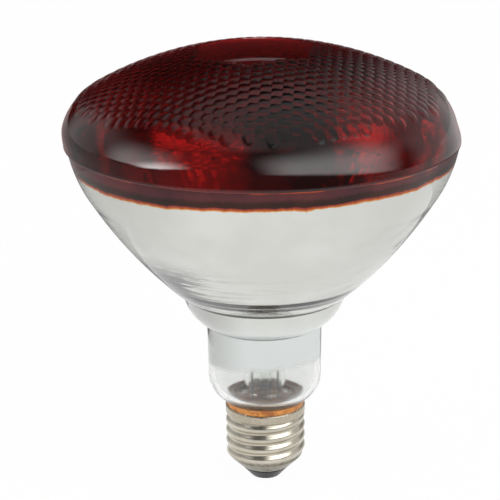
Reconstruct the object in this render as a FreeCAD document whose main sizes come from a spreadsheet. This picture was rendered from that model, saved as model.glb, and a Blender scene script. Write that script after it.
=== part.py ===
"""Infrared reflector lamp with a screw cap, in millimetres.

The lamp stands on its cap. The origin is the middle of the centre contact's underside,
and +Z runs up the lamp's axis to the top of the lens.
"""
import FreeCAD
import Part
import Sketcher
import math
import os

doc = FreeCAD.newDocument("infrared_lamp")

# Driving dimensions: heights are above the centre contact's underside, angles are in degrees.
SIZES = {
    # lens
    "seam_height": 115.3,
    "lens_radius": 61.8,
    "lens_rise": 30.0,
    "lens_skirt": 1.0,
    "lens_rim_arc": 17.8,
    "lens_wall": 3.0,
    # reflector bowl, shoulder and neck
    "seam_overhang": 0.65,
    "bowl_rim_arc": 41.8,
    "bowl_break_inset": 6.85,
    "bowl_break_height": 98.0,
    "bowl_arc": 141.0,
    "bowl_foot_radius": 26.1,
    "bowl_foot_height": 65.0,
    "shoulder_arc": 14.9,
    "neck_radius": 18.6,
    "neck_top_height": 54.9,
    "neck_low_radius": 18.4,
    "neck_low_height": 37.4,
    "neck_end_arc": 9.95,
    "glass_wall": 2.0,
    # stem
    "stem_radius": 6.7,
    "stem_wall": 1.2,
    "flare_arc": 3.8,
    "flare_rim_height": 29.0,
    "press_low_height": 45.0,
    "press_slope_height": 50.0,
    "press_top_height": 55.0,
    "press_thickness": 4.0,
    "arbor_radius": 1.3,
    "button_radius": 2.2,
    "button_thickness": 3.5,
    "exhaust_radius": 2.0,
    "exhaust_wall": 0.6,
    "exhaust_tip_height": 15.0,
    # leads, filament and its supports
    "lead_radius": 0.35,
    "lead_offset": 4.2,
    "lead_end_length": 6.4,
    "lead_foot_height": 9.0,
    "lead_turn_height": 20.0,
    "lead_weld_clearance": 0.02,
    "filament_height": 73.0,
    "filament_radius": 8.0,
    "filament_coil_radius": 0.6,
    "support_radius": 0.2,
    "support_depth": 1.0,
    "support_clearance": 0.02,
    "support_angle": 45.0,
    # cap
    "shell_height": 26.4,
    "shell_lip_radius": 12.6,
    "shell_wall": 0.35,
    "collar_radius": 13.05,
    "collar_top_height": 25.6,
    "collar_low_height": 23.0,
    "thread_root_radius": 12.2,
    "thread_crest_radius": 13.05,
    "thread_pitch": 3.629,
    "thread_turns": 3.05,
    "thread_low_height": 9.75,
    "thread_crest_width": 0.9,
    "thread_base_width": 2.7,
    "cone_low_height": 4.3,
    "cone_low_radius": 8.0,
    "cement_low_height": 23.5,
    "cement_top_radius": 13.6,
    "insulator_low_height": 0.8,
    "insulator_low_radius": 4.9,
    "insulator_depth": 3.0,
    "contact_radius": 3.0,
    "eyelet_radius": 1.6,
    "eyelet_top_height": 2.5,
    "eyelet_bore_clearance": 0.1,
    "solder_radius": 1.5,
    "solder_thickness": 0.3,
}
SUPPORT_COUNT = 3


class Size:
    """A length that carries its number and the sheet expression that drives it."""

    def __init__(self, value, text):
        self.value = value
        self.text = text

    def __add__(self, other):
        other = as_size(other)
        return Size(self.value + other.value, f"({self.text} + {other.text})")

    def __sub__(self, other):
        other = as_size(other)
        return Size(self.value - other.value, f"({self.text} - {other.text})")

    def __mul__(self, other):
        other = as_size(other)
        return Size(self.value * other.value, f"({self.text} * {other.text})")

    def __truediv__(self, other):
        other = as_size(other)
        return Size(self.value / other.value, f"({self.text} / {other.text})")

    def __neg__(self):
        return Size(-self.value, f"(0 - {self.text})")


def as_size(number):
    if isinstance(number, Size):
        return number
    return Size(float(number), repr(float(number)))


def root(size):
    return Size(math.sqrt(size.value), f"sqrt({size.text})")


class Sheet:
    """The driving dimensions as attributes, each a Size bound to its cell."""


def make_sheet():
    sheet = doc.addObject("Spreadsheet::Sheet", "Sizes")
    named = Sheet()
    for row, (name, value) in enumerate(SIZES.items(), start=1):
        sheet.set(f"A{row}", name)
        sheet.set(f"B{row}", str(value))
        sheet.setAlias(f"B{row}", name)
        setattr(named, name, Size(value, f"Sizes.{name}"))
    doc.recompute()
    return named


def new_body(label):
    body = doc.addObject("PartDesign::Body", label)
    body.Label = label
    return body


def new_sketch(body, name, role, height=None):
    """Adds a sketch on one of the body's origin planes, lifted by height where that is given."""
    sketch = body.newObject("Sketcher::SketchObject", name)
    plane = next(feature for feature in body.Origin.OriginFeatures if feature.Role == role)
    sketch.AttachmentSupport = [(plane, "")]
    sketch.MapMode = "FlatFace"
    if height is not None:
        sketch.setExpression("AttachmentOffset.Base.z", height.text)
    return sketch


def add_bound(sketch, size, *constraint):
    """Adds a dimension to the sketch and binds it to the sheet."""
    index = sketch.addConstraint(Sketcher.Constraint(*constraint, size.value))
    sketch.setExpression(f"Constraints[{index}]", size.text)


def pin_point(sketch, geometry, position, across, up):
    """Ties one point of the sketch to its two distances from the origin."""
    add_bound(sketch, as_size(across), "DistanceX", -1, 1, geometry, position)
    add_bound(sketch, as_size(up), "DistanceY", -1, 1, geometry, position)


def arc_middle(start, end, radius, turn):
    """Middle of the short arc from start to end; turn is 1 for a left turn and -1 for a right one."""
    chord = end - start
    half = chord.Length / 2
    left = FreeCAD.Vector(-chord.y, chord.x, 0).normalize()
    height = math.sqrt(max(radius * radius - half * half, 0.0))
    return (start + end) / 2 + left * (turn * (height - radius))


def draw(sketch, corners, closed=True):
    """Draws lines and arcs through corners of (across, up) or (across, up, radius, turn).

    A corner's radius and turn belong to the arc that arrives there.
    """
    points = [FreeCAD.Vector(as_size(c[0]).value, as_size(c[1]).value, 0) for c in corners]
    count = len(corners)
    ends = []
    for index in range(count if closed else count - 1):
        target = (index + 1) % count
        start, end, corner = points[index], points[target], corners[target]
        if len(corner) == 2:
            geometry = sketch.addGeometry(Part.LineSegment(start, end))
            ends.append((geometry, 1, 2))
            continue
        radius, turn = as_size(corner[2]), corner[3]
        middle = arc_middle(start, end, radius.value, turn)
        geometry = sketch.addGeometry(Part.Arc(start, middle, end))
        add_bound(sketch, radius, "Radius", geometry)
        ends.append((geometry, 1, 2) if turn > 0 else (geometry, 2, 1))
    for index, (geometry, first, last) in enumerate(ends):
        pin_point(sketch, geometry, first, *corners[index][:2])
        following = (index + 1) % len(ends)
        if closed or following:
            neighbour, neighbour_first, _ = ends[following]
            sketch.addConstraint(
                Sketcher.Constraint("Coincident", geometry, last, neighbour, neighbour_first)
            )
    if not closed:
        geometry, first, last = ends[-1]
        pin_point(sketch, geometry, last, *corners[-1][:2])


def draw_circle(sketch, across, up, radius):
    centre = FreeCAD.Vector(as_size(across).value, as_size(up).value, 0)
    geometry = sketch.addGeometry(Part.Circle(centre, FreeCAD.Vector(0, 0, 1), radius.value))
    add_bound(sketch, radius, "Radius", geometry)
    pin_point(sketch, geometry, 3, across, up)


def revolve(body, name, sketch, angle):
    feature = body.newObject("PartDesign::Revolution", name)
    feature.Profile = sketch
    feature.ReferenceAxis = (sketch, ["V_Axis"])
    feature.Angle = angle
    doc.recompute()
    return feature


def turned(label, corners):
    """A body that is a closed outline of (radius, height) corners turned round the lamp's axis."""
    body = new_body(label)
    sketch = new_sketch(body, f"{label}_section", "XZ_Plane")
    draw(sketch, corners)
    revolve(body, f"{label}_form", sketch, 360.0)
    return body


def make_lens(s):
    """Domed front: one arc over the middle runs into a smaller rim arc, with an even wall."""
    top = s.seam_height + s.lens_rise
    rim_across = s.lens_radius - s.lens_rim_arc
    rim_up = s.seam_height + s.lens_skirt
    drop = top - rim_up
    rim_square = rim_across * rim_across + drop * drop - s.lens_rim_arc * s.lens_rim_arc
    dome_arc = rim_square / ((drop - s.lens_rim_arc) * 2)
    dome_up = top - dome_arc

    def joint(radius):
        """Point where the dome arc of that radius runs into the rim arc."""
        share = radius / (dome_arc - s.lens_rim_arc)
        return rim_across * share, dome_up + (rim_up - dome_up) * share

    inner_dome_arc = dome_arc - s.lens_wall
    inner_radius = s.lens_radius - s.lens_wall
    return turned("lens", [
        (0, top, dome_arc, 1),
        (0, top - s.lens_wall),
        (*joint(inner_dome_arc), inner_dome_arc, -1),
        (inner_radius, rim_up, s.lens_rim_arc - s.lens_wall, -1),
        (inner_radius, s.seam_height),
        (s.lens_radius, s.seam_height),
        (s.lens_radius, rim_up),
        (*joint(dome_arc), s.lens_rim_arc, 1),
    ])


def neck_end_height(s, arc, radius):
    """Height of an arc round the neck end's centre, at that distance from the lamp's axis."""
    across = radius - (s.neck_low_radius - s.neck_end_arc)
    return s.neck_low_height - root(arc * arc - across * across)


def make_reflector(s):
    """Bowl, shoulder and neck in one glass, with the inside one wall further in than the outside."""
    wall = s.glass_wall
    rim_radius = s.lens_radius - s.seam_overhang
    break_radius = rim_radius - s.bowl_break_inset
    end_radius = s.stem_radius + s.flare_arc
    inner_end_arc = s.neck_end_arc - wall
    return turned("reflector", [
        (rim_radius, s.seam_height, s.bowl_rim_arc, 1),
        (rim_radius - wall, s.seam_height),
        (break_radius - wall, s.bowl_break_height, s.bowl_rim_arc, -1),
        (s.bowl_foot_radius - wall, s.bowl_foot_height, s.bowl_arc, -1),
        (s.neck_radius - wall, s.neck_top_height, s.shoulder_arc, -1),
        (s.neck_low_radius - wall, s.neck_low_height),
        (end_radius, neck_end_height(s, inner_end_arc, end_radius), inner_end_arc, -1),
        (end_radius, neck_end_height(s, s.neck_end_arc, end_radius)),
        (s.neck_low_radius, s.neck_low_height, s.neck_end_arc, 1),
        (s.neck_radius, s.neck_top_height),
        (s.bowl_foot_radius, s.bowl_foot_height, s.shoulder_arc, 1),
        (break_radius, s.bowl_break_height, s.bowl_arc, 1),
    ])


def make_stem_blank(s):
    """Flare, tube, press, arbor rod and button in one glass, before the wires are let in."""
    bore = s.stem_radius - s.stem_wall
    tube_low = s.flare_rim_height + s.flare_arc
    flare_rim_radius = s.stem_radius + s.flare_arc
    button_low = s.filament_height - s.button_thickness / 2
    button_top = s.filament_height + s.button_thickness / 2
    body = turned("stem_blank", [
        (0, s.press_low_height),
        (bore, s.press_low_height),
        (bore, tube_low),
        (flare_rim_radius, s.flare_rim_height - s.stem_wall, s.flare_arc + s.stem_wall, 1),
        (flare_rim_radius, s.flare_rim_height),
        (s.stem_radius, tube_low, s.flare_arc, -1),
        (s.stem_radius, s.press_top_height),
        (s.arbor_radius, s.press_top_height),
        (s.arbor_radius, button_low),
        (s.button_radius, button_low),
        (s.button_radius, button_top),
        (0, button_top),
    ])
    # The press: both sides of the solid tube end are squeezed to a flat blade.
    blade = s.press_thickness / 2
    for side in (1, -1):
        sketch = new_sketch(body, f"press_side_{'front' if side < 0 else 'back'}", "YZ_Plane")
        draw(sketch, [
            (blade * side, s.press_slope_height),
            ((s.stem_radius + s.stem_wall) * side, s.press_low_height),
            ((s.stem_radius + s.stem_wall) * side, s.press_top_height + s.stem_wall),
            (blade * side, s.press_top_height + s.stem_wall),
        ])
        doc.recompute()
        before = body.Shape.Volume
        pocket = body.newObject("PartDesign::Pocket", f"{sketch.Name}_cut")
        pocket.Profile = sketch
        pocket.Type = "ThroughAll"
        pocket.Midplane = True
        doc.recompute()
        if not body.Shape.Volume < before:
            raise RuntimeError("the press has not been squeezed")
    return body


def make_exhaust_tube(s):
    """Tube from the underside of the press into the cap, melted shut at its lower end."""
    bore = s.exhaust_radius - s.exhaust_wall
    tip_centre = s.exhaust_tip_height + s.exhaust_radius
    return turned("exhaust_tube", [
        (bore, s.press_low_height),
        (bore, tip_centre),
        (0, tip_centre - bore, bore, -1),
        (0, s.exhaust_tip_height),
        (s.exhaust_radius, tip_centre, s.exhaust_radius, 1),
        (s.exhaust_radius, s.press_low_height),
    ])


def make_lead(s, label, side, lower_route):
    """Lead wire from the filament's end down through the press, then along its own lower route."""
    top = s.filament_height - s.filament_coil_radius
    body = new_body(label)
    section = new_sketch(body, f"{label}_section", "XY_Plane", top)
    draw_circle(section, s.filament_radius * side, 0, s.lead_radius)
    route = new_sketch(body, f"{label}_route", "XZ_Plane")
    draw(route, [
        (s.filament_radius * side, top),
        (s.filament_radius * side, top - s.lead_end_length),
        (s.lead_offset * side, s.press_top_height),
        *lower_route,
    ], closed=False)
    doc.recompute()
    pipe = body.newObject("PartDesign::AdditivePipe", f"{label}_form")
    pipe.Profile = section
    pipe.Spine = (route, [f"Edge{number + 1}" for number in range(route.GeometryCount)])
    pipe.Transition = "Round corner"
    doc.recompute()
    return body


def make_filament(s):
    """Half ring of coiled wire at the bowl's focus, as the rod that the coil fills."""
    body = new_body("filament")
    sketch = new_sketch(body, "filament_section", "XZ_Plane")
    draw_circle(sketch, s.filament_radius, s.filament_height, s.filament_coil_radius)
    revolve(body, "filament_form", sketch, 180.0)
    return body


def make_supports(s):
    """Fine wires that reach out of the button to the filament."""
    start = s.button_radius - s.support_depth
    reach = s.filament_radius - s.filament_coil_radius - s.support_clearance
    length = reach - start
    wires = []
    for number in range(1, SUPPORT_COUNT + 1):
        wire = doc.addObject("Part::Cylinder", f"support_wire_{number}")
        wire.setExpression("Radius", s.support_radius.text)
        wire.setExpression("Height", length.text)
        turn = s.support_angle * number
        wire.setExpression("Placement.Base.x", f"{start.text} * cos({turn.text} * 1 deg)")
        wire.setExpression("Placement.Base.y", f"{start.text} * sin({turn.text} * 1 deg)")
        wire.setExpression("Placement.Base.z", s.filament_height.text)
        wire.Placement.Rotation = FreeCAD.Rotation(turn.value, 90, 0)
        wires.append(wire)
    group = doc.addObject("Part::Compound", "filament_supports")
    group.Links = wires
    return group


def cone_height(s, radius):
    """Height of the cap's lower cone, outside, at that radius: the cone falls as fast as it narrows."""
    return s.cone_low_height + (radius - s.cone_low_radius)


def make_cap_shell(s):
    """Thin screw shell: lip, plain collar, rolled thread and a cone that holds the insulator."""
    wall = s.shell_wall
    slant_wall = wall * math.sqrt(2)
    root_inside = s.thread_root_radius - wall
    body = turned("cap_shell", [
        (s.shell_lip_radius, s.shell_height),
        (s.shell_lip_radius - wall, s.shell_height),
        (s.collar_radius - wall, s.collar_top_height),
        (s.collar_radius - wall, s.collar_low_height),
        (root_inside, s.collar_low_height - (s.collar_radius - s.thread_root_radius)),
        (root_inside, cone_height(s, root_inside) + slant_wall),
        (s.cone_low_radius, s.cone_low_height + slant_wall),
        (s.cone_low_radius, s.cone_low_height),
        (s.thread_root_radius, cone_height(s, s.thread_root_radius)),
        (s.thread_root_radius, s.collar_low_height - (s.collar_radius - s.thread_root_radius)),
        (s.collar_radius, s.collar_low_height),
        (s.collar_radius, s.collar_top_height),
    ])
    thread = new_sketch(body, "thread_section", "XZ_Plane")
    base_radius = s.thread_root_radius - wall / 2
    draw(thread, [
        (-base_radius, s.thread_low_height - s.thread_base_width / 2),
        (-base_radius, s.thread_low_height + s.thread_base_width / 2),
        (-s.thread_crest_radius, s.thread_low_height + s.thread_crest_width / 2),
        (-s.thread_crest_radius, s.thread_low_height - s.thread_crest_width / 2),
    ])
    doc.recompute()
    helix = body.newObject("PartDesign::AdditiveHelix", "thread")
    helix.Profile = thread
    helix.ReferenceAxis = (thread, ["V_Axis"])
    helix.Mode = "pitch-turns-angle"
    helix.setExpression("Pitch", s.thread_pitch.text)
    helix.setExpression("Turns", s.thread_turns.text)
    doc.recompute()
    return body


def make_cement(s):
    """Basing cement that fills the cap's mouth round the end of the neck."""
    shell_inside = s.shell_lip_radius - s.shell_wall
    inside = s.stem_radius + s.flare_arc
    return turned("cement", [
        (inside, s.cement_low_height),
        (shell_inside, s.cement_low_height),
        (shell_inside, s.shell_height),
        (s.shell_lip_radius, s.shell_height),
        (s.cement_top_radius, neck_end_height(s, s.neck_end_arc, s.cement_top_radius)),
        (inside, neck_end_height(s, s.neck_end_arc, inside), s.neck_end_arc, -1),
    ])


def make_insulator(s):
    """Black glass that plugs the shell's cone and narrows to the centre contact."""
    slant_wall = s.shell_wall * math.sqrt(2)
    top_radius = s.cone_low_radius + s.insulator_depth
    top = cone_height(s, top_radius) + slant_wall
    return turned("cap_insulator", [
        (s.eyelet_radius, s.insulator_low_height),
        (s.insulator_low_radius, s.insulator_low_height),
        (s.cone_low_radius, s.cone_low_height),
        (s.cone_low_radius, s.cone_low_height + slant_wall),
        (top_radius, top),
        (s.eyelet_radius, top),
    ])


def make_contact(s):
    """Eyelet: a disc under the insulator with a neck up its bore and a recess for the solder."""
    bore = s.lead_radius + s.eyelet_bore_clearance
    return turned("centre_contact", [
        (bore, s.solder_thickness),
        (s.solder_radius, s.solder_thickness),
        (s.solder_radius, 0),
        (s.contact_radius, 0),
        (s.contact_radius, s.insulator_low_height),
        (s.eyelet_radius, s.insulator_low_height),
        (s.eyelet_radius, s.eyelet_top_height),
        (bore, s.eyelet_top_height),
    ])


def make_solder(s):
    """Solder that fills the eyelet's recess and meets the end of the lead."""
    return turned("centre_solder", [
        (0, 0),
        (s.solder_radius, 0),
        (s.solder_radius, s.solder_thickness),
        (0, s.solder_thickness),
    ])


def make_stem(s, blank, wires):
    """The stem with the wires' channels through its press and button."""
    channels = doc.addObject("Part::Compound", "stem_channels")
    channels.Links = wires
    stem = doc.addObject("Part::Cut", "stem")
    stem.Base = blank
    stem.Tool = channels
    doc.recompute()
    return stem


def make_nodes(s):
    contact_lead = make_lead(s, "lead_wire_contact", 1, [
        (s.lead_offset, s.lead_turn_height),
        (0, s.lead_foot_height),
        (0, s.solder_thickness),
    ])
    shell_lead = make_lead(s, "lead_wire_shell", -1, [
        (-s.lead_offset, s.lead_turn_height),
        (s.shell_wall + s.lead_weld_clearance - s.thread_root_radius, s.lead_turn_height),
    ])
    supports = make_supports(s)
    return [
        make_lens(s),
        make_reflector(s),
        make_stem(s, make_stem_blank(s), [contact_lead, shell_lead, supports]),
        make_exhaust_tube(s),
        contact_lead,
        shell_lead,
        make_filament(s),
        supports,
        make_cement(s),
        make_cap_shell(s),
        make_insulator(s),
        make_contact(s),
        make_solder(s),
    ]


def write_nodes(nodes):
    """Checks every object of the document, then writes one file for each node."""
    doc.recompute()
    failed = [item.Label for item in doc.Objects if "Invalid" in item.State or "Error" in item.State]
    failed += [node.Label for node in nodes if node.Shape.isNull() or not node.Shape.isValid()]
    if failed:
        raise RuntimeError(f"failed: {failed}")
    os.makedirs("parts", exist_ok=True)
    for node in nodes:
        node.Shape.exportStep(f"parts/{node.Label}.step")
        print(node.Label, len(node.Shape.Solids), round(node.Shape.Volume, 2))


write_nodes(make_nodes(make_sheet()))
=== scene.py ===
import itertools
import math

import bpy
import numpy as np
from mathutils import Matrix, Vector


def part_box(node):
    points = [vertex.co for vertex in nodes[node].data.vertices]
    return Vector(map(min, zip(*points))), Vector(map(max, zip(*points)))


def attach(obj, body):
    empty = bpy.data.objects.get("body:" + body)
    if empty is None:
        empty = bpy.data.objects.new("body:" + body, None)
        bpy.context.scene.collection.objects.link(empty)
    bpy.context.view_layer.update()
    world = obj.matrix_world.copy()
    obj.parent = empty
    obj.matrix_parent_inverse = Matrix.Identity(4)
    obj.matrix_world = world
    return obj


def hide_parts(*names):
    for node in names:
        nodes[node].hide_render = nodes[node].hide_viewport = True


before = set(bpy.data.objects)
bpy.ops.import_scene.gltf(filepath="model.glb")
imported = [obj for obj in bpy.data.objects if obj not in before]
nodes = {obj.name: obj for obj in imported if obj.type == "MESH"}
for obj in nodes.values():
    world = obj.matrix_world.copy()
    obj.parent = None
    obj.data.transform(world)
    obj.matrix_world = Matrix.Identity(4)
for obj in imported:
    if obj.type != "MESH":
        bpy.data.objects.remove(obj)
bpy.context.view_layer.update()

MM = 0.001
scene = bpy.context.scene

# Sizes are in millimetres unless a comment says otherwise, read from the frame where a node shows them.
lens_low, lens_high = (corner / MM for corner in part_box("lens"))
shell_low, shell_high = (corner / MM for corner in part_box("cap_shell"))
_, insulator_high = (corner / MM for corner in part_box("cap_insulator"))

# Lens: a dome that runs into a round rim over a short skirt.
LENS_RADIUS = lens_high.x
LENS_TOP = lens_high.z
SEAM = lens_low.z
LENS_SKIRT = 1.0
LENS_RIM_ARC = 17.8
LENS_WALL = 1.4
LENS_EDGE = 0.25
RIM_ACROSS = LENS_RADIUS - LENS_RIM_ARC
RIM_UP = SEAM + LENS_SKIRT
LENS_DROP = LENS_TOP - RIM_UP
DOME_RADIUS = (RIM_ACROSS**2 + LENS_DROP**2 - LENS_RIM_ARC**2) / (2 * (LENS_DROP - LENS_RIM_ARC))
DOME_CENTRE = LENS_TOP - DOME_RADIUS
DOME_JOINT = RIM_ACROSS * DOME_RADIUS / (DOME_RADIUS - LENS_RIM_ARC)

# The lens sits a little askew: all of it is shifted, what is above the seam slides, and the dome leans.
LENS_SHIFT = -0.3
LENS_SLIDE = -0.8
LENS_SLIDE_HEIGHT = 6.0
LENS_LEAN = math.radians(0.4)

# Stipple: bumps with rather flat tops on a triangular lattice, with a smooth hexagon in the middle.
BUMP_PITCH = 3.68
BUMP_TURN = math.radians(24.8)
BUMP_CENTRE = (-1.5, -2.0)
BUMP_FOOT = 2.0
BUMP_HEIGHT = 0.26
BUMP_POWER = 1.5
BUMP_LIMIT = 56.3
SMOOTH_RINGS = 5

# Points on a ring of the lens. The dome's rings run from the middle outwards and the rim's downwards:
# first and last radius or angle, how many, and the points on each.
FINE, MEDIUM, COARSE, COARSEST = 768, 384, 192, 96
DOME_RINGS = [
    (1.0, 6.0, 6, COARSEST),
    (7.0, 13.0, 7, COARSE),
    (13.4, 27.0, 34, MEDIUM),
    (27.42, DOME_JOINT, 61, FINE),
]
RIM_START = math.acos((DOME_JOINT - RIM_ACROSS) / LENS_RIM_ARC)
STIPPLE_END = math.acos((BUMP_LIMIT + BUMP_FOOT - RIM_ACROSS) / LENS_RIM_ARC)
RIM_RINGS = [(RIM_START, STIPPLE_END, 19, FINE), (STIPPLE_END, 0.0, 21, MEDIUM)]
INNER_RIM_RINGS = 14
INNER_DOME_RINGS = 17
INNER_DOME_END = 4.0

# Lighter red patches of the lens at the front: from and to along X, and their red.
# The red is so many times the green and the blue, and each patch fades over its start and its end.
RED_PATCHES = [(-31.0, -5.0, 0.135), (20.0, 46.0, 0.07), (50.0, 53.0, 0.26)]
RED_RATIO = 50
PATCH_START_FADE = 1.5
PATCH_END_FADE = 2.5

# Screw shell: thread, with its run-in and run-out in turns, then collar, lip and cone.
THREAD_PITCH = 3.629
THREAD_LOW = 9.75
THREAD_TURNS = 3.5
THREAD_RUN_IN = (-0.25, 0.1)
THREAD_RUN_OUT = (THREAD_TURNS - 0.1, THREAD_TURNS + 0.3)
THREAD_POWER = 0.8
ROOT_RADIUS = 12.2
CREST_RADIUS = 13.05
COLLAR_LOW = 23.9
COLLAR_RISE = 1.3
COLLAR_INSIDE_RISE = 0.85
LIP = shell_high.z
LIP_RADIUS = 12.6
LIP_ROUND = (LIP - 0.7, LIP + 0.1)
SHELL_WALL = 0.35
CONE_TRIM = 0.6
CONE_LOW = shell_low.z + CONE_TRIM
CONE_LOW_RADIUS = 8.0
CONE_RADIUS = CONE_LOW_RADIUS + CONE_TRIM
CONE_TOP = CONE_LOW + ROOT_RADIUS - CONE_RADIUS
CONE_BLEND = 0.5

# Heights of the shell's rings from the lip down, on collar, thread and cone: first, last and how many.
SHELL_COUNT = 192
SHELL_RINGS = [
    (LIP, COLLAR_LOW - 1.6, 26),
    (COLLAR_LOW - 1.75, CONE_TOP - 0.6, 92),
    (CONE_TOP - 0.8, CONE_LOW, 16),
]

# Dent in the cone: its turn and width in radians, then its height, spread and depth.
DENT_TURN = math.radians(272)
DENT_WIDTH = 0.12
DENT_HEIGHT = 6.6
DENT_SPREAD = 0.7
DENT_DEPTH = 0.35

# Dish of cement in the cap's mouth.
DISH_RADIUS = 11.8
DISH_HOLE = 0.6
DISH_HEIGHT = 25.4
DISH_RIM = 0.9
DISH_DEPTH = 1.2
DISH_LUMP = 0.25
DISH_RIPPLE = 0.18
DISH_RINGS = 20
DISH_COUNT = 96

# Coatings on the reflector. Faces that look this far towards the axis carry the mirror.
MIRROR_FACING = -0.05
MIRROR_EDGE = 41.5
MIRROR_TILT_X = 1.2 / 18.5
MIRROR_TILT_Y = -3.2 / 18.5
BAND_EDGE = 109.3
BAND_TILT = 0.014

# Foot of the bowl and top of the neck, as heights over the mirror's edge. Each dark ring, a painted
# reflection, has its height over the foot, half its width, its depth, and its reach to either side, of which
# a share is full.
# It is weakest, as a share of its depth, where the streaks are light.
FOOT = 65.0 - MIRROR_EDGE
CREASE = 54.9 - MIRROR_EDGE
FOOT_RINGS = [(6.6, 1.3, 1.0, 60.0), (4.6, 1.0, 0.85, 45.0)]
FOOT_RING_FULL = 0.4
FOOT_RING_WEAK = 0.85

# Refraction of glass, and the usual wide and narrow spans of a noise.
GLASS_IOR = 1.5
WIDE = (0.3, 0.7)
NARROW = (0.35, 0.65)

# Stage, in metres and degrees. A wall has its name, its cloth, two azimuths, a radius, two heights and
# fades. A fade has its axis, its start and end, and the levels there.
FLOOR_REACH = 6.0
FLOOR_GLOW = 0.97
STUDIO_RADIUS = 2.4
STUDIO_FADES = [("Y", -1.5, 1.2, 0.13, 0.012)]
WALL_RADIUS = 0.2
WALL_CENTRE = (0.055, -0.045)
WALL_TOP = 0.122
WALL_BREAK = 0.07
WALL_POINTS = 49
SCREEN_RADIUS = 1.2
SCREEN_TOP = 0.9
WALLS = [
    ("front_wall", "grey_cloth", -115.0, 115.0, WALL_RADIUS, WALL_BREAK, WALL_TOP,
     [("Y", -WALL_RADIUS, 0.02, 0.11, 0.36), ("X", 0.15, 0.236, 1.0, 2.2)]),
    ("low_wall", "pale_cloth", -180.0, 180.0, WALL_RADIUS, 0.0, WALL_BREAK,
     [("Z", 0.0, WALL_BREAK, 0.95, 0.5), ("Y", 0.02, 0.13, 1.0, 0.4)]),
    ("back_wall", "back_cloth", 115.0, 245.0, WALL_RADIUS, WALL_BREAK, WALL_TOP,
     [("X", -0.09, 0.0, 4.0, 1.0), ("X", 0.05, 0.15, 0.08, 0.8)]),
]
SCREEN = ("back_screen", "white_cloth", 75.0, 285.0, SCREEN_RADIUS, 0.0, SCREEN_TOP,
          [("Z", 0.0, SCREEN_TOP, 0.97, 0.8)])

# Soft boxes, in metres and degrees: name, azimuth, elevation, distance, width, height, radiance, the
# feathers of the left, right, lower and upper edge, and the turn. They face a point in the lens.
LIGHTS = [
    ("left_box", -74, 24, 1.1, 1.1, 0.85, 2.2, (0.4, 0.35, 0.1, 0.75), 0.0),
    ("left_strip", -59, 14, 1.05, 0.82, 0.34, 8.0, (0.5, 0.5, 0.25, 0.75), 30.0),
    ("right_box", 45, 31, 1.1, 2.2, 1.0, 2.7, (0.3, 0.38, 0.12, 0.75), -9.0),
    ("top_panel", 100, 75, 1.3, 2.5, 2.5, 0.36, (0.25, 0.25, 0.25, 0.25), 0.0),
    ("right_panel", 126, 26, 1.3, 2.2, 1.5, 0.46, (0.25, 0.25, 0.05, 0.65), 0.0),
    ("left_panel", -121, 18, 1.3, 1.65, 1.5, 0.42, (0.35, 0.35, 0.05, 0.4), 0.0),
    ("back_panel", 178, 31, 1.3, 0.42, 0.08, 0.3, (0.3, 0.3, 0.3, 0.3), 0.0),
]
LIGHT_TARGET = Vector((0, 0, 0.11))
POWER_PER_RADIANCE = 4
WORLD_LIGHT = 0.4
WORLD_SEEN = 1.0

# Camera, from the photograph's ellipses: focal length in pixels of the 500-pixel frame.
FRAME_PIXELS = 500
FOCAL_PIXELS = 1638.6
SENSOR_WIDTH = 36.0
VIEW_DISTANCE = 523.0
VIEW_PITCH = math.radians(18.18)
VIEW_ROLL = math.radians(0.65)
VIEW_TARGET = (-4.45, 0.0, 78.78)


def rgb(red, green, blue):
    return (red, green, blue, 1.0)


# Plain metals: darker and lighter colour, lowest and highest roughness, grain, and its depth in metres.
METALS = {
    "brass_inside": (rgb(0.42, 0.29, 0.17), rgb(0.55, 0.40, 0.24), 0.4, 0.6, 900.0, 0.00002),
    "drawn_wire": (rgb(0.16, 0.15, 0.15), rgb(0.26, 0.24, 0.23), 0.25, 0.45, 2600.0, 0.00002),
    "coiled_tungsten": (rgb(0.22, 0.22, 0.23), rgb(0.34, 0.34, 0.35), 0.3, 0.5, 5200.0, 0.00008),
    "pressed_brass": (rgb(0.62, 0.47, 0.24), rgb(0.74, 0.60, 0.34), 0.22, 0.4, 1500.0, 0.00002),
    "dull_solder": (rgb(0.5, 0.5, 0.5), rgb(0.66, 0.66, 0.66), 0.35, 0.6, 1200.0, 0.00006),
}


def smoothstep(low, high, value):
    share = np.clip((value - low) / (high - low), 0.0, 1.0)
    return share * share * (3.0 - 2.0 * share)


def bridge(first, first_count, second, second_count):
    """Faces between two rings whose counts are equal or differ by a factor of two, or round one point."""
    faces = []
    for i in range(max(first_count, second_count)):
        if first_count == second_count:
            j = (i + 1) % first_count
            faces.append((first + i, second + i, second + j, first + j))
        elif second_count == 2 * first_count and i < first_count:
            j = (i + 1) % first_count
            a, b, c = second + 2 * i, second + 2 * i + 1, second + (2 * i + 2) % second_count
            faces += [(first + i, a, b), (first + i, b, first + j), (first + j, b, c)]
        elif first_count == 2 * second_count and i < second_count:
            j = (i + 1) % second_count
            a, b, c = first + 2 * i, first + 2 * i + 1, first + (2 * i + 2) % first_count
            faces += [(a, second + i, b), (b, second + i, second + j), (b, second + j, c)]
        elif first_count == 1:
            faces.append((first, second + i, second + (i + 1) % second_count))
        elif second_count == 1:
            faces.append((first + i, second, first + (i + 1) % first_count))
    return faces


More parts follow.
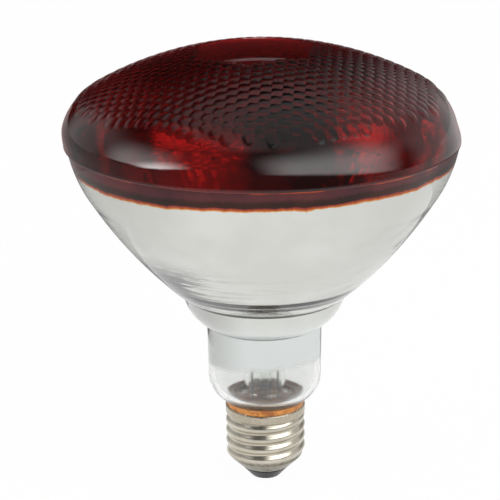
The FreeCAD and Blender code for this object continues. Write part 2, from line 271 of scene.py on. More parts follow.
def ring_mesh(name, rings, closed=False, sharp=40.0):
    """A mesh through rings of points in millimetres, each counter-clockwise seen from above."""
    starts = np.cumsum([0] + [len(ring) for ring in rings])
    faces = []
    for index in range(len(rings) if closed else len(rings) - 1):
        after = (index + 1) % len(rings)
        faces += bridge(int(starts[index]), len(rings[index]), int(starts[after]), len(rings[after]))
    mesh = bpy.data.meshes.new(name)
    mesh.from_pydata((np.concatenate(rings) * MM).tolist(), [], faces)
    mesh.polygons.foreach_set("use_smooth", [True] * len(mesh.polygons))
    mesh.set_sharp_from_angle(angle=math.radians(sharp))
    mesh.update()
    piece = bpy.data.objects.new(name, mesh)
    scene.collection.objects.link(piece)
    return piece


def face_data(piece):
    """Middles and normals of a piece's faces."""
    faces = piece.data.polygons
    middles, normals = np.empty(3 * len(faces)), np.empty(3 * len(faces))
    faces.foreach_get("center", middles)
    faces.foreach_get("normal", normals)
    return middles.reshape(-1, 3), normals.reshape(-1, 3)


def dress(piece, *materials, second=None):
    """Give a piece its materials; second marks the faces that take the second one."""
    piece.data.materials.clear()
    for material in materials:
        piece.data.materials.append(material)
    if second is not None:
        piece.data.polygons.foreach_set("material_index", np.where(second, 1, 0))


def turns(count):
    return np.arange(count) * (2 * math.pi / count)


def circle(radius, height, count):
    turn = turns(count)
    radius = np.broadcast_to(radius, count)
    return np.stack([radius * np.cos(turn), radius * np.sin(turn), np.broadcast_to(height, count)], 1)


def bump_height(x, y):
    """Height of the stipple over the dome: the highest of the bumps around each point."""
    ways = (BUMP_TURN, BUMP_TURN + math.pi / 3)
    steps = BUMP_PITCH * np.array([[math.cos(way), math.sin(way)] for way in ways])
    point = np.stack([x, y], 1) - BUMP_CENTRE
    cell = np.floor(point @ np.linalg.inv(steps))
    height = np.zeros_like(x)
    for shift in itertools.product((-1, 0, 1, 2), repeat=2):
        place = cell + shift
        bump = place @ steps
        away = ((point - bump) ** 2).sum(1)
        ring = (np.abs(place).sum(1) + np.abs(place.sum(1))) / 2
        reach = np.linalg.norm(bump + BUMP_CENTRE, axis=1)
        there = (ring > SMOOTH_RINGS) & (reach < BUMP_LIMIT)
        cap = BUMP_HEIGHT * (1.0 - (away / BUMP_FOOT**2) ** BUMP_POWER)
        height = np.maximum(height, np.where(there, cap, 0.0))
    return height


def stippled(ring, normal):
    """A ring raised along its normals by the stipple."""
    return ring + normal * bump_height(ring[:, 0], ring[:, 1])[:, None]


def rim_circle(arc, angle, count):
    """A ring of the rim, at an angle round the centre of its arc."""
    return circle(RIM_ACROSS + arc * math.cos(angle), RIM_UP + arc * math.sin(angle), count)


def lens_outside():
    """Rings of the lens's outside, from the middle of the dome to the rounded lower edge."""
    rings = [np.array([[0.0, 0.0, LENS_TOP]])]
    for start, end, steps, count in DOME_RINGS:
        for radius in np.linspace(start, end, steps):
            ring = circle(radius, DOME_CENTRE + math.sqrt(DOME_RADIUS**2 - radius**2), count)
            rings.append(stippled(ring, (ring - [0.0, 0.0, DOME_CENTRE]) / DOME_RADIUS))
    for start, end, steps, count in RIM_RINGS:
        for angle in np.linspace(start, end, steps + 1)[1:]:
            normal = circle(math.cos(angle), math.sin(angle), count)
            rings.append(stippled(rim_circle(LENS_RIM_ARC, angle, count), normal))
    rings.append(circle(LENS_RADIUS, SEAM + LENS_EDGE, MEDIUM))
    rings.append(circle(LENS_RADIUS - LENS_EDGE / 3, SEAM + LENS_EDGE / 3, MEDIUM))
    rings.append(circle(LENS_RADIUS - LENS_EDGE, SEAM, MEDIUM))
    return rings


def lens_inside():
    """Rings of the lens's inside, from the lower edge to the middle of the dome."""
    rings = [circle(LENS_RADIUS - LENS_WALL, SEAM, COARSE)]
    for angle in np.linspace(0.0, RIM_START, INNER_RIM_RINGS):
        rings.append(rim_circle(LENS_RIM_ARC - LENS_WALL, angle, COARSE))
    inner = DOME_RADIUS - LENS_WALL
    joint = DOME_JOINT * inner / DOME_RADIUS
    for radius in np.linspace(joint, INNER_DOME_END, INNER_DOME_RINGS + 1)[1:]:
        rings.append(circle(radius, DOME_CENTRE + math.sqrt(inner**2 - radius**2), COARSE))
    rings.append(np.array([[0.0, 0.0, LENS_TOP - LENS_WALL]]))
    return rings


def make_lens():
    """Red lens: stippled dome, smooth rim and an even wall, set a little askew."""
    rings = lens_outside() + lens_inside()
    for ring in rings:
        lean = smoothstep(RIM_UP, SEAM + LENS_RIM_ARC, ring[:, 2])
        ring[:, 2] += math.tan(LENS_LEAN) * ring[:, 0] * lean
        ring[:, 0] += LENS_SHIFT + LENS_SLIDE * smoothstep(SEAM, SEAM + LENS_SLIDE_HEIGHT, ring[:, 2])
    piece = ring_mesh("red_lens", rings)
    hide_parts("lens")
    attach(piece, "root")
    middles, normals = face_data(piece)
    middles[:, 2] -= DOME_CENTRE * MM
    dress(piece, lens_paint(), lens_inside_paint(), second=(middles * normals).sum(1) < 0)


def thread_radius(turn, height):
    """Radius of the rolled thread at an angle from the left side and a height."""
    around = np.mod(turn - math.pi, 2 * math.pi) / (2 * math.pi)
    place = (height - THREAD_LOW) / THREAD_PITCH - around
    along = np.round(place) + around
    fade = smoothstep(*THREAD_RUN_IN, along) * (1.0 - smoothstep(*THREAD_RUN_OUT, along))
    wave = (0.5 + 0.5 * np.cos(2 * math.pi * place)) ** THREAD_POWER
    return ROOT_RADIUS + (CREST_RADIUS - ROOT_RADIUS) * fade * wave


def shell_radius(turn, height):
    """Outer radius round one ring of the shell: collar or thread, blended into the cone, less the dent."""
    cone = CONE_RADIUS + (height - CONE_LOW)
    body = thread_radius(turn, np.full(len(turn), height))
    rise = smoothstep(COLLAR_LOW - COLLAR_RISE, COLLAR_LOW, height)
    collar = ROOT_RADIUS + (CREST_RADIUS - ROOT_RADIUS) * rise
    collar -= (CREST_RADIUS - LIP_RADIUS) * smoothstep(*LIP_ROUND, height) ** 2
    radius = np.maximum(body if height < COLLAR_LOW else 0.0, collar)
    gap = np.clip(0.5 + 0.5 * (radius - cone) / CONE_BLEND, 0.0, 1.0)
    radius = radius + (cone - radius) * gap - CONE_BLEND * gap * (1.0 - gap)
    dent = np.exp(-(((turn - DENT_TURN) / DENT_WIDTH) ** 2) - ((height - DENT_HEIGHT) / DENT_SPREAD) ** 2)
    return radius - DENT_DEPTH * dent


def make_shell():
    """Rolled screw shell with a plain collar, thread run-outs and a small dent in its cone."""
    turn = turns(SHELL_COUNT)
    heights = np.concatenate([np.linspace(*run) for run in SHELL_RINGS])
    rings = [circle(shell_radius(turn, height), height, SHELL_COUNT) for height in heights]
    slant = SHELL_WALL * math.sqrt(2)
    inside = ROOT_RADIUS - SHELL_WALL
    rings += [
        circle(CONE_RADIUS, CONE_LOW + slant, SHELL_COUNT),
        circle(inside, CONE_LOW + inside - CONE_RADIUS + slant, SHELL_COUNT),
        circle(inside, COLLAR_LOW - COLLAR_INSIDE_RISE, SHELL_COUNT),
        circle(LIP_RADIUS - SHELL_WALL, COLLAR_LOW, SHELL_COUNT),
        circle(LIP_RADIUS - SHELL_WALL, LIP, SHELL_COUNT),
    ]
    piece = ring_mesh("screw_shell", rings, closed=True, sharp=50.0)
    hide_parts("cap_shell")
    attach(piece, "root")
    hidden = np.zeros(len(piece.data.polygons), dtype=bool)
    hidden[len(heights) * SHELL_COUNT:(len(rings) - 1) * SHELL_COUNT] = True
    dress(piece, shell_paint(), metal_paint("brass_inside"), second=hidden)


def make_cement_floor():
    """Brown cement inside the cap's mouth, seen through the clear neck: a low uneven dish round the tube."""
    turn = turns(DISH_COUNT)
    rings = []
    for radius in np.linspace(DISH_RADIUS, DISH_HOLE, DISH_RINGS):
        share = radius / DISH_RADIUS
        lump = DISH_LUMP * np.sin(3 * turn + radius)
        ripple = DISH_RIPPLE * np.sin(7 * turn - 2 * radius) * share
        rings.append(circle(radius, DISH_HEIGHT + DISH_RIM * share**4 + lump + ripple, DISH_COUNT))
    for radius in (DISH_HOLE, DISH_RADIUS):
        rings.append(circle(radius, DISH_HEIGHT - DISH_DEPTH, DISH_COUNT))
    piece = ring_mesh("cement_floor", rings, closed=True)
    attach(piece, "root")
    dress(piece, floor_cement_paint())


class Paint:
    """Short ways to add and join the nodes of one material."""

    def __init__(self, name):
        self.material = bpy.data.materials.new(name)
        self.material.use_nodes = True
        self.tree = self.material.node_tree
        self.shader = self.tree.nodes["Principled BSDF"]
        self.place = self.add("ShaderNodeTexCoord").outputs["Object"]

    def add(self, kind, **settings):
        node = self.tree.nodes.new(kind)
        for name, value in settings.items():
            setattr(node, name, value)
        return node

    def join(self, source, target):
        """Link a socket, or set a plain value."""
        if hasattr(source, "is_linked"):
            self.tree.links.new(source, target)
        else:
            target.default_value = source

    def set(self, **values):
        """Set the shader's own sockets, with underscores for the spaces in their names."""
        for name, value in values.items():
            self.join(value, self.shader.inputs[name.replace("_", " ")])

    def math(self, kind, first, second=0.0, third=0.0):
        node = self.add("ShaderNodeMath", operation=kind)
        for socket, value in zip(node.inputs, (first, second, third)):
            self.join(value, socket)
        return node.outputs[0]

    def times(self, first, second):
        return self.math("MULTIPLY", first, second)

    def plus(self, first, second):
        return self.math("ADD", first, second)

    def minus(self, first, second):
        return self.math("SUBTRACT", first, second)

    def away(self, value, middle):
        """How far a value is from a middle."""
        return self.math("ABSOLUTE", self.minus(value, middle))

    def wobble(self, noise, width):
        """A noise as a shift to either side, within a width."""
        return self.math("MULTIPLY_ADD", noise, width, -width / 2)

    def axis(self, name):
        """The place along one of the piece's own axes, in millimetres."""
        node = self.add("ShaderNodeSeparateXYZ")
        self.join(self.place, node.inputs[0])
        return self.times(node.outputs[name], 1 / MM)

    def height_over(self, level):
        return self.minus(self.axis("Z"), level)

    def noise(self, scale, detail=3.0, rough=0.5, stretch=(1.0, 1.0, 1.0)):
        mapping = self.add("ShaderNodeMapping")
        mapping.inputs["Scale"].default_value = stretch
        self.join(self.place, mapping.inputs["Vector"])
        node = self.add("ShaderNodeTexNoise")
        node.inputs["Scale"].default_value = scale
        node.inputs["Detail"].default_value = detail
        node.inputs["Roughness"].default_value = rough
        self.join(mapping.outputs[0], node.inputs["Vector"])
        return node.outputs[0]

    def span(self, value, low, high, start=0.0, end=1.0):
        """A smooth change from start to end, as a value goes from low to high."""
        node = self.add("ShaderNodeMapRange", interpolation_type="SMOOTHSTEP")
        for index, number in enumerate((value, low, high, start, end)):
            self.join(number, node.inputs[index])
        return node.outputs[0]

    def mix(self, share, first, second):
        node = self.add("ShaderNodeMix", data_type="RGBA")
        self.join(share, node.inputs["Factor"])
        for name, colour in (("A", first), ("B", second)):
            socket = next(s for s in node.inputs if s.name == name and s.type == "RGBA")
            self.join(colour, socket)
        return next(s for s in node.outputs if s.type == "RGBA")

    def tones(self, noise, spread, first, second):
        """Two colours shared out by a noise."""
        return self.mix(self.span(noise, *spread), first, second)

    def bump(self, height, distance):
        node = self.add("ShaderNodeBump")
        node.inputs["Strength"].default_value = 1.0
        node.inputs["Distance"].default_value = distance
        self.join(height, node.inputs["Height"])
        self.join(node.outputs[0], self.shader.inputs["Normal"])


def lens_paint():
    """Ruby lacquer over pressed glass: glossy, lighter red in some ragged patches, with hair cracks and
    flecks.
    """
    paint = Paint("ruby_lacquer_glass")
    x, y, height = paint.axis("X"), paint.axis("Y"), paint.height_over(SEAM)
    cloud = paint.noise(30.0, detail=4.0, rough=0.55)
    fleck = paint.noise(420.0, detail=2.0, rough=0.5)
    ragged = paint.noise(120.0, detail=5.0, rough=0.65)

    # Dark at the front, redder low on the rim and towards the back, and reddest on the dome's far half and a
    # little on
    # its sides: painted light, for the light that shines through the lens from behind.
    front = paint.times(paint.span(y, -12.0, -26.0), paint.span(height, 17.0, 12.0))
    rim = paint.span(height, 8.0, 4.0)
    middle = paint.span(y, -16.0, 8.0)
    back = paint.span(y, 8.0, 44.0)
    sides = paint.span(paint.math("ABSOLUTE", x), 28.0, 52.0, 0.0, 0.15)
    # Painted light through the lens from behind: the dome's far half and a little of its sides.
    painted_backlight = paint.math("MAXIMUM", paint.span(y, 4.0, 24.0), sides)
    painted_backlight = paint.times(painted_backlight, paint.span(height, 9.0, 20.0))
    colour = paint.tones(cloud, (0.38, 0.66), rgb(0.010, 0.001, 0.001), rgb(0.026, 0.001, 0.001))
    colour = paint.mix(rim, colour, rgb(0.035, 0.001, 0.001))
    colour = paint.mix(middle, colour, rgb(0.035, 0.002, 0.002))
    colour = paint.mix(back, colour, rgb(0.14, 0.004, 0.004))
    colour = paint.mix(painted_backlight, colour, rgb(0.7, 0.016, 0.014))

    # Lighter red patches, hair cracks and flecks at the front.
    along = paint.plus(x, paint.wobble(ragged, 8.0))
    for start, end, red in RED_PATCHES:
        left = paint.span(along, start - PATCH_START_FADE, start + PATCH_START_FADE)
        right = paint.span(along, end + PATCH_END_FADE, end - PATCH_END_FADE)
        patch = paint.times(paint.times(left, right), front)
        colour = paint.mix(patch, colour, rgb(red, red / RED_RATIO, red / RED_RATIO))
    crack = paint.span(paint.away(paint.noise(60.0, detail=5.0, rough=0.6), 0.5), 0.016, 0.006)
    crack = paint.times(crack, paint.span(cloud, 0.46, 0.54))
    colour = paint.mix(paint.times(crack, front), colour, rgb(0.004, 0.001, 0.001))
    speck = paint.times(paint.span(fleck, 0.64, 0.72, 0.0, 0.8), front)
    colour = paint.mix(speck, colour, rgb(0.005, 0.001, 0.001))

    paint.set(Base_Color=colour, Transmission_Weight=1.0, IOR=GLASS_IOR)
    # The red sheen stands in for the light that shines through the lens edge-on along its outline.
    paint.set(Sheen_Weight=0.28, Sheen_Roughness=0.2, Sheen_Tint=rgb(1.0, 0.03, 0.03))
    paint.set(Roughness=paint.span(fleck, 0.3, 0.8, 0.0, 0.04))
    return paint.material


def lens_inside_paint():
    """Inner face of the lens: bare glass, slightly uneven in colour and gloss."""
    paint = Paint("lens_inside_glass")
    cloud = paint.noise(120.0, detail=3.0, rough=0.5)
    paint.set(Base_Color=paint.tones(cloud, WIDE, rgb(0.96, 0.95, 0.95), rgb(1.0, 0.99, 0.99)))
    paint.set(Transmission_Weight=1.0, IOR=GLASS_IOR, Roughness=paint.span(cloud, *WIDE, 0.02, 0.07))
    return paint.material


def bulb_paint():
    """Outer face of the bulb: clear glass, with the lens lacquer run over its rim to a ragged orange edge."""
    paint = Paint("bulb_glass")
    wander = paint.noise(70.0, detail=3.0, rough=0.5)
    drip = paint.noise(420.0, detail=4.0, rough=0.6, stretch=(1.0, 1.0, 0.5))
    soft = paint.noise(60.0, detail=3.0, rough=0.5)
    height = paint.minus(paint.height_over(BAND_EDGE), paint.times(paint.axis("X"), BAND_TILT))
    height = paint.plus(height, paint.wobble(wander, 2.0))
    height = paint.plus(height, paint.wobble(drip, 1.1))

    # From below the ragged edge upwards: bare glass, a thin orange and then red fringe, brown and violet. The
    # darker brown on the band's lower half is painted shade.
    glass = paint.tones(soft, WIDE, rgb(0.955, 0.965, 0.95), rgb(0.985, 0.99, 0.98))
    fringe = paint.mix(paint.span(height, -0.3, 0.05), glass, rgb(0.92, 0.15, 0.005))
    fringe = paint.mix(paint.span(height, 0.05, 0.5), fringe, rgb(0.34, 0.008, 0.001))
    # Painted shade: darker brown on the lower half of the band, lighter violet above.
    brown = paint.tones(soft, NARROW, rgb(0.016, 0.006, 0.004), rgb(0.035, 0.010, 0.006))
    violet = paint.tones(soft, NARROW, rgb(0.050, 0.014, 0.016), rgb(0.085, 0.020, 0.022))
    lacquer = paint.mix(paint.span(height, 2.4, 4.0), brown, violet)

    # A broken orange line under the seam, partly a line of lacquer and partly painted glints.
    line = paint.span(paint.height_over(SEAM), -0.45, -0.25)
    line = paint.times(line, paint.span(soft, 0.5, 0.6))
    lacquer = paint.mix(line, lacquer, rgb(0.45, 0.06, 0.005))

    covered = paint.span(height, 0.5, 1.3)
    paint.set(Base_Color=paint.mix(covered, fringe, lacquer))
    paint.set(IOR=GLASS_IOR, Specular_Tint=rgb(0.4, 0.4, 0.4))
    paint.set(Transmission_Weight=paint.minus(1.0, covered), Roughness=paint.times(covered, 0.06))
    return paint.material


def mirror_paint():
    """Inner face of the bulb: aluminised from the rim down to the neck, bare glass below."""
    paint = Paint("aluminium_mirror")
    x, y, height = paint.axis("X"), paint.axis("Y"), paint.height_over(MIRROR_EDGE)
    ragged = paint.noise(160.0, detail=4.0, rough=0.6)
    soft = paint.noise(60.0, detail=3.0, rough=0.5)
    streak = paint.noise(58.0, detail=5.0, rough=0.66, stretch=(1.0, 1.0, 12.0))
    tilt = paint.plus(paint.times(x, MIRROR_TILT_X), paint.times(y, MIRROR_TILT_Y))
    edge = paint.plus(paint.minus(height, tilt), paint.wobble(ragged, 0.8))
    mirrored = paint.span(edge, -1.6, 1.6)

    # Silver with painted shade: darker on the left and a little on the right.
    left = paint.span(x, -15.0, -45.0)
    right = paint.span(x, 12.0, 40.0)
    silver = paint.tones(soft, WIDE, rgb(0.66, 0.66, 0.63), rgb(0.70, 0.705, 0.675))
    silver = paint.mix(left, silver, rgb(0.56, 0.555, 0.53))
    silver = paint.mix(right, silver, rgb(0.62, 0.615, 0.59))

    # Dark streaks low on the bowl, most of them on the left, and the dark rings over the foot: painted
    # reflections.
    low = paint.times(paint.span(height, FOOT, FOOT + 3.0), paint.span(height, FOOT + 24.0, FOOT + 12.0))
    low = paint.times(low, paint.span(x, -6.0, -30.0, 0.1, 1.0))
    dark = paint.span(paint.plus(streak, paint.span(x, -14.0, -30.0, 0.0, 0.16)), 0.5, 0.6)
    silver = paint.mix(paint.times(low, dark), silver, rgb(0.09, 0.09, 0.10))
    square = paint.times(x, x)
    # Painted reflections: dark rings over the foot.
    for place, half, depth, reach in FOOT_RINGS:
        ring = paint.span(paint.away(height, FOOT + place), half, half / 2)
        ring = paint.times(ring, paint.span(streak, 0.35, 0.6, FOOT_RING_WEAK * depth, depth))
        ring = paint.times(ring, paint.span(square, reach**2, (FOOT_RING_FULL * reach) ** 2))
        silver = paint.mix(ring, silver, rgb(0.03, 0.03, 0.032))

    # Bluer on the neck, with painted shade on the left below the foot, and a dark line of painted shade in
    # the crease at the top of the neck, deepest on the left.
    neck = rgb(0.70, 0.725, 0.72)
    silver = paint.mix(paint.span(height, 12.0, 24.0), neck, silver)
    shade = paint.times(paint.span(x, -5.0, -18.0, 0.0, 0.8), paint.span(height, FOOT + 1.0, FOOT - 1.0))
    silver = paint.mix(shade, silver, rgb(0.44, 0.44, 0.43))
    crease = paint.span(paint.away(height, CREASE), 0.9, 0.2, 0.0, 0.8)
    crease = paint.times(crease, paint.span(x, 16.0, -8.0, 0.35, 1.0))
    silver = paint.mix(crease, silver, rgb(0.2, 0.2, 0.205))

    glass = rgb(0.90, 0.91, 0.90)
    paint.set(Base_Color=paint.mix(mirrored, glass, silver), IOR=GLASS_IOR, Metallic=mirrored)
    paint.set(Transmission_Weight=paint.math("MULTIPLY_ADD", mirrored, -0.9, 0.9))
    paint.set(Roughness=paint.span(mirrored, 0.0, 1.0, 0.12, 0.03))
    paint.bump(paint.noise(34.0, detail=2.0, rough=0.4, stretch=(1.0, 1.0, 1.6)), distance=0.0004)
    return paint.material


def dress_bulb(piece):
    """Glass on the faces that look away from the axis, the mirror on those that look towards it."""
    middles, normals = face_data(piece)
    outward = (middles[:, :2] * normals[:, :2]).sum(1) / np.hypot(middles[:, 0], middles[:, 1])
    dress(piece, bulb_paint(), mirror_paint(), second=outward < MIRROR_FACING)


def clear_paint():
    """Clear glass of the stem and the exhaust tube, slightly hazy in places."""
    paint = Paint("clear_glass")
    haze = paint.noise(90.0, detail=3.0)
    paint.set(Base_Color=paint.tones(haze, WIDE, rgb(0.93, 0.94, 0.92), rgb(0.97, 0.98, 0.97)))
    paint.set(Transmission_Weight=1.0, IOR=GLASS_IOR)
    paint.set(Roughness=paint.span(haze, 0.4, 0.9, 0.0, 0.04))
    return paint.material


def metal_paint(name):
    """Plated or drawn metal: slightly uneven colour and sheen with a fine grain."""
    low, high, rough_low, rough_high, grain, depth = METALS[name]
    paint = Paint(name)
    soft = paint.noise(grain / 6, detail=3.0, rough=0.5)
    fine = paint.noise(grain, detail=3.0, rough=0.6)
    paint.set(Base_Color=paint.tones(soft, WIDE, low, high), Metallic=1.0)
    paint.set(Roughness=paint.span(fine, 0.25, 0.75, rough_low, rough_high))
    paint.bump(fine, depth)
    return paint.material


def shell_paint():
    """Nickel plate gone champagne, duller and darker on the collar and on the cone."""
    paint = Paint("nickel_plate")
    height = paint.axis("Z")
    soft = paint.noise(130.0, detail=3.0, rough=0.5)
    fine = paint.noise(900.0, detail=3.0, rough=0.6)
    bright = paint.tones(soft, WIDE, rgb(0.53, 0.49, 0.41), rgb(0.64, 0.595, 0.505))
    dull = paint.tones(fine, NARROW, rgb(0.34, 0.29, 0.215), rgb(0.45, 0.39, 0.30))
    grey = paint.tones(fine, NARROW, rgb(0.17, 0.155, 0.12), rgb(0.29, 0.265, 0.215))
    # Duller on the collar and on the cone, and much darker on the cone.
    cone = paint.span(height, 10.5, 8.5)
    collar = paint.span(height, COLLAR_LOW - 1.0, COLLAR_LOW, 0.0, 0.6)
    dulling = paint.math("MAXIMUM", cone, collar)
    metal = paint.mix(dulling, bright, dull)
    metal = paint.mix(paint.span(height, 10.2, 8.6), metal, grey)
    paint.set(Base_Color=metal, Metallic=1.0)
    paint.set(Roughness=paint.math("MULTIPLY_ADD", dulling, 0.1, paint.span(fine, 0.25, 0.75, 0.17, 0.26)))
    paint.bump(fine, distance=0.000003)
    return paint.material


def cement_paint():
    """Orange-brown basing cement: grainy, dark where it meets the glass, brightest at the lip."""
    paint = Paint("basing_cement")
    height = paint.height_over(LIP)
    grain = paint.noise(1400.0, detail=4.0, rough=0.65)
    patch = paint.noise(330.0, detail=3.0, rough=0.6)
    glass_edge = paint.span(paint.plus(height, paint.wobble(patch, 1.6)), 2.0, 2.5)
    colour = paint.tones(patch, NARROW, rgb(0.34, 0.11, 0.02), rgb(0.74, 0.30, 0.06))
    colour = paint.mix(paint.span(grain, 0.6, 0.7, 0.0, 0.8), colour, rgb(0.20, 0.075, 0.02))
    colour = paint.mix(paint.span(grain, 0.3, 0.4, 0.7, 0.0), colour, rgb(0.80, 0.46, 0.18))
    colour = paint.mix(glass_edge, colour, rgb(0.12, 0.05, 0.02))
    colour = paint.mix(paint.span(height, -1.4, -0.8), rgb(0.40, 0.26, 0.15), colour)
    paint.set(Base_Color=colour, Roughness=paint.span(grain, *WIDE, 0.4, 0.7))
    paint.bump(grain, distance=0.0002)
    return paint.material


def floor_cement_paint():
    """Brown cement with glossy amber beads of flux, much lighter than cement: painted light for the light
    that hardly reaches it through the glass.
    """
    paint = Paint("brown_cement")
    patch = paint.noise(260.0, detail=4.0, rough=0.6)
    bead = paint.noise(700.0, detail=3.0, rough=0.6)
    # Painted light: colours far lighter than the cement's own.
    colour = paint.tones(patch, NARROW, rgb(0.95, 0.46, 0.18), rgb(1.0, 0.64, 0.34))
    colour = paint.mix(paint.span(bead, 0.6, 0.7), colour, rgb(0.98, 0.72, 0.36))
    paint.set(Base_Color=colour, Roughness=paint.span(bead, 0.55, 0.7, 0.6, 0.2))
    paint.bump(patch, distance=0.0004)
    return paint.material


def black_paint():
    """Black glass of the insulator, dusted with brown cement on the side inside the cap."""
    paint = Paint("black_glass")
    cloud = paint.noise(300.0, detail=4.0, rough=0.6)
    black = paint.tones(cloud, WIDE, rgb(0.006, 0.006, 0.007), rgb(0.016, 0.016, 0.018))
    brown = paint.tones(cloud, WIDE, rgb(0.26, 0.17, 0.10), rgb(0.40, 0.28, 0.18))
    inside = paint.span(paint.height_over(insulator_high.z), -0.6, -0.2)
    paint.set(Base_Color=paint.mix(inside, black, brown), Specular_IOR_Level=0.15)
    paint.set(Roughness=paint.span(cloud, *WIDE, 0.18, 0.32))
    paint.bump(cloud, distance=0.0001)
    return paint.material


def dress_all():
    """Make the scene's own pieces and dress the other nodes."""
    glass = clear_paint()
    wire = metal_paint("drawn_wire")
    make_lens()
    make_shell()
    make_cement_floor()
    dress_bulb(nodes["reflector"])
    for name in ("stem", "exhaust_tube"):
        dress(nodes[name], glass)
    for name in ("lead_wire_contact", "lead_wire_shell", "filament_supports"):
        dress(nodes[name], wire)
    dress(nodes["filament"], metal_paint("coiled_tungsten"))
    dress(nodes["cement"], cement_paint())
    dress(nodes["cap_insulator"], black_paint())
    dress(nodes["centre_contact"], metal_paint("pressed_brass"))
    dress(nodes["centre_solder"], metal_paint("dull_solder"))


def link_all(tree, *pairs):
    for source, target in pairs:
        tree.links.new(source, target)


def new_tree(name):
    """A material with only its output, its node tree, and the output's surface."""
    material = bpy.data.materials.new(name)
    material.use_nodes = True
    tree = material.node_tree
    tree.nodes.clear()
    return material, tree, tree.nodes.new("ShaderNodeOutputMaterial").inputs["Surface"]


def combine(tree, operation, first, second):
    """A math node on two sockets."""
    node = tree.nodes.new("ShaderNodeMath")
    node.operation = operation
    link_all(tree, (first, node.inputs[0]), (second, node.inputs[1]))
    return node.outputs[0]


def faded(tree, fades):
    """Product of fades: each a socket, its start and end, and the levels there, which are else 0 and 1."""
    level = None
    for source, *numbers in fades:
        fade = tree.nodes.new("ShaderNodeMapRange")
        fade.interpolation_type = "SMOOTHSTEP"
        tree.links.new(source, fade.inputs["Value"])
        for index, number in enumerate(numbers, start=1):
            fade.inputs[index].default_value = number
        level = combine(tree, "MULTIPLY", level, fade.outputs[0]) if level else fade.outputs[0]
    return level


def floor_paint(name, colour, glow):
    """Matt floor; glow is the share that shows as plain white to the camera, to metal and to glass."""
    material, tree, surface = new_tree(name)
    matt = tree.nodes.new("ShaderNodeBsdfDiffuse")
    matt.inputs["Color"].default_value = colour
    white = tree.nodes.new("ShaderNodeEmission")
    rays = tree.nodes.new("ShaderNodeLightPath").outputs
    seen = combine(tree, "MAXIMUM", rays["Is Camera Ray"], rays["Is Glossy Ray"])
    seen = combine(tree, "MAXIMUM", seen, rays["Is Transmission Ray"])
    share = tree.nodes.new("ShaderNodeMath")
    share.operation = "MULTIPLY"
    share.inputs[1].default_value = glow
    blend = tree.nodes.new("ShaderNodeMixShader")
    link_all(
        tree,
        (seen, share.inputs[0]),
        (share.outputs[0], blend.inputs[0]),
        (matt.outputs[0], blend.inputs[1]),
        (white.outputs[0], blend.inputs[2]),
        (blend.outputs[0], surface),
    )
    return material


def cloth_paint(name, fades):
    """Dim cloth whose level is a product of fades along axes."""
    material, tree, surface = new_tree(name)
    dim = tree.nodes.new("ShaderNodeEmission")
    place = tree.nodes.new("ShaderNodeSeparateXYZ")
    where = tree.nodes.new("ShaderNodeNewGeometry").outputs["Position"]
    level = faded(tree, [(place.outputs[axis], *numbers) for axis, *numbers in fades])
    link_all(tree, (where, place.inputs[0]), (level, dim.inputs["Strength"]), (dim.outputs[0], surface))
    return material


def make_wall(name, cloth, start, end, radius, low, high, fades):
    """An upright strip of wall between two azimuths and two heights."""
    count = WALL_POINTS
    azimuths = np.radians(np.linspace(start, end, count))
    across = WALL_CENTRE[0] + radius * np.sin(azimuths)
    along = WALL_CENTRE[1] - radius * np.cos(azimuths)
    foot = np.stack([across, along, np.full(count, low)], 1)
    points = np.concatenate([foot, foot + [0.0, 0.0, high - low]])
    faces = [(i, i + 1, i + 1 + count, i + count) for i in range(count - 1)]
    mesh = bpy.data.meshes.new(name)
    mesh.from_pydata(points.tolist(), [], faces)
    wall = bpy.data.objects.new(name, mesh)
    scene.collection.objects.link(wall)
    dress(wall, cloth_paint(cloth, fades))
    return wall


def make_stage():
    """White floor, and three things that the camera doesn't see: a dark studio all round, low walls that only
    reflections meet, and a white screen behind that only light through glass meets."""
    bpy.ops.mesh.primitive_circle_add(vertices=96, radius=FLOOR_REACH, fill_type="NGON")
    floor = bpy.context.object
    floor.name = "floor"
    dress(floor, floor_paint("white_floor", rgb(0.9, 0.9, 0.9), FLOOR_GLOW))
    bpy.ops.mesh.primitive_uv_sphere_add(segments=48, ring_count=24, radius=STUDIO_RADIUS)
    studio = bpy.context.object
    studio.name = "dark_studio"
    dress(studio, cloth_paint("dark_cloth", STUDIO_FADES))
    walls = [make_wall(*wall) for wall in WALLS]
    screen = make_wall(*SCREEN)
    screen.visible_glossy = False
    for piece in walls:
        piece.visible_transmission = False
    for piece in (studio, *walls, screen):
        piece.visible_camera = False
        piece.visible_diffuse = False
        piece.visible_shadow = False


def direction(azimuth, elevation):
    """Unit vector; azimuth 0 is the camera's side and grows to the right."""
    a, e = math.radians(azimuth), math.radians(elevation)
    return Vector((math.sin(a) * math.cos(e), -math.cos(a) * math.cos(e), math.sin(e)))


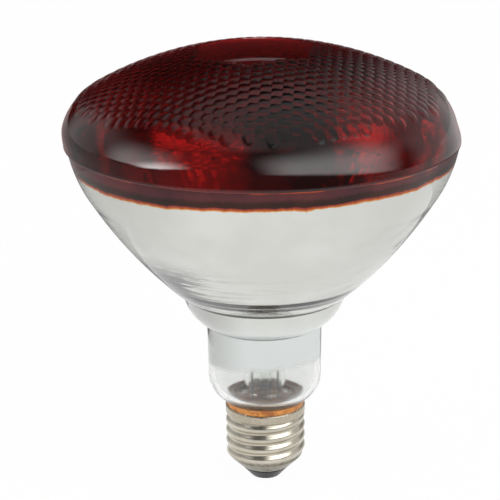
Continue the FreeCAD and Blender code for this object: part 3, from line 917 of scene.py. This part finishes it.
def soft_box(name, azimuth, elevation, distance, width, height, radiance, feathers, turn):
    """A soft box that faces the lens and fades over its left, right, lower and upper edges."""
    lamp = bpy.data.lights.new(name, "AREA")
    lamp.shape = "RECTANGLE"
    lamp.size, lamp.size_y = width, height
    lamp.energy = POWER_PER_RADIANCE * width * height * radiance
    lamp.use_nodes = True
    tree = lamp.node_tree
    place = tree.nodes.new("ShaderNodeSeparateXYZ")
    across = tree.nodes.new("ShaderNodeNewGeometry").outputs["Parametric"]
    left, right, lower, upper = feathers
    level = faded(tree, [
        (place.outputs["X"], 0.0, left),
        (place.outputs["X"], 1.0, 1.0 - right),
        (place.outputs["Y"], 0.0, lower),
        (place.outputs["Y"], 1.0, 1.0 - upper),
    ])
    link_all(tree, (across, place.inputs[0]), (level, tree.nodes["Emission"].inputs["Strength"]))
    box = bpy.data.objects.new(name, lamp)
    back = direction(azimuth, elevation)
    box.location = back * distance + LIGHT_TARGET
    facing = (-back).to_track_quat("-Z", "Y").to_matrix()
    box.rotation_euler = (facing @ Matrix.Rotation(math.radians(turn), 3, "Z")).to_euler()
    box.visible_camera = False
    scene.collection.objects.link(box)


def make_world():
    """White world: dim as light, plain white to the camera."""
    world = bpy.data.worlds.new("studio_world")
    world.use_nodes = True
    tree = world.node_tree
    background = tree.nodes["Background"]
    background.inputs["Color"].default_value = rgb(1.0, 1.0, 1.0)
    strength = tree.nodes.new("ShaderNodeMapRange")
    strength.inputs["To Min"].default_value = WORLD_LIGHT
    strength.inputs["To Max"].default_value = WORLD_SEEN
    rays = tree.nodes.new("ShaderNodeLightPath")
    link_all(
        tree,
        (rays.outputs["Is Camera Ray"], strength.inputs["Value"]),
        (strength.outputs[0], background.inputs["Strength"]),
    )
    scene.world = world


def make_camera():
    """Camera at the photograph's angle."""
    lens = bpy.data.cameras.new("camera")
    lens.sensor_width = SENSOR_WIDTH
    lens.lens = FOCAL_PIXELS * SENSOR_WIDTH / FRAME_PIXELS
    lens.clip_start = 0.01
    camera = bpy.data.objects.new("camera", lens)
    forward = Vector((0.0, math.cos(VIEW_PITCH), -math.sin(VIEW_PITCH)))
    camera.location = (Vector(VIEW_TARGET) - forward * VIEW_DISTANCE) * MM
    tip = Matrix.Rotation(math.pi / 2 - VIEW_PITCH, 4, "X")
    roll = Matrix.Rotation(-VIEW_ROLL, 4, "Z")
    camera.rotation_euler = (tip @ roll).to_euler()
    scene.collection.objects.link(camera)
    scene.camera = camera


dress_all()
make_stage()
for light in LIGHTS:
    soft_box(*light)
make_world()
make_camera()
scene.view_settings.view_transform = "Standard"
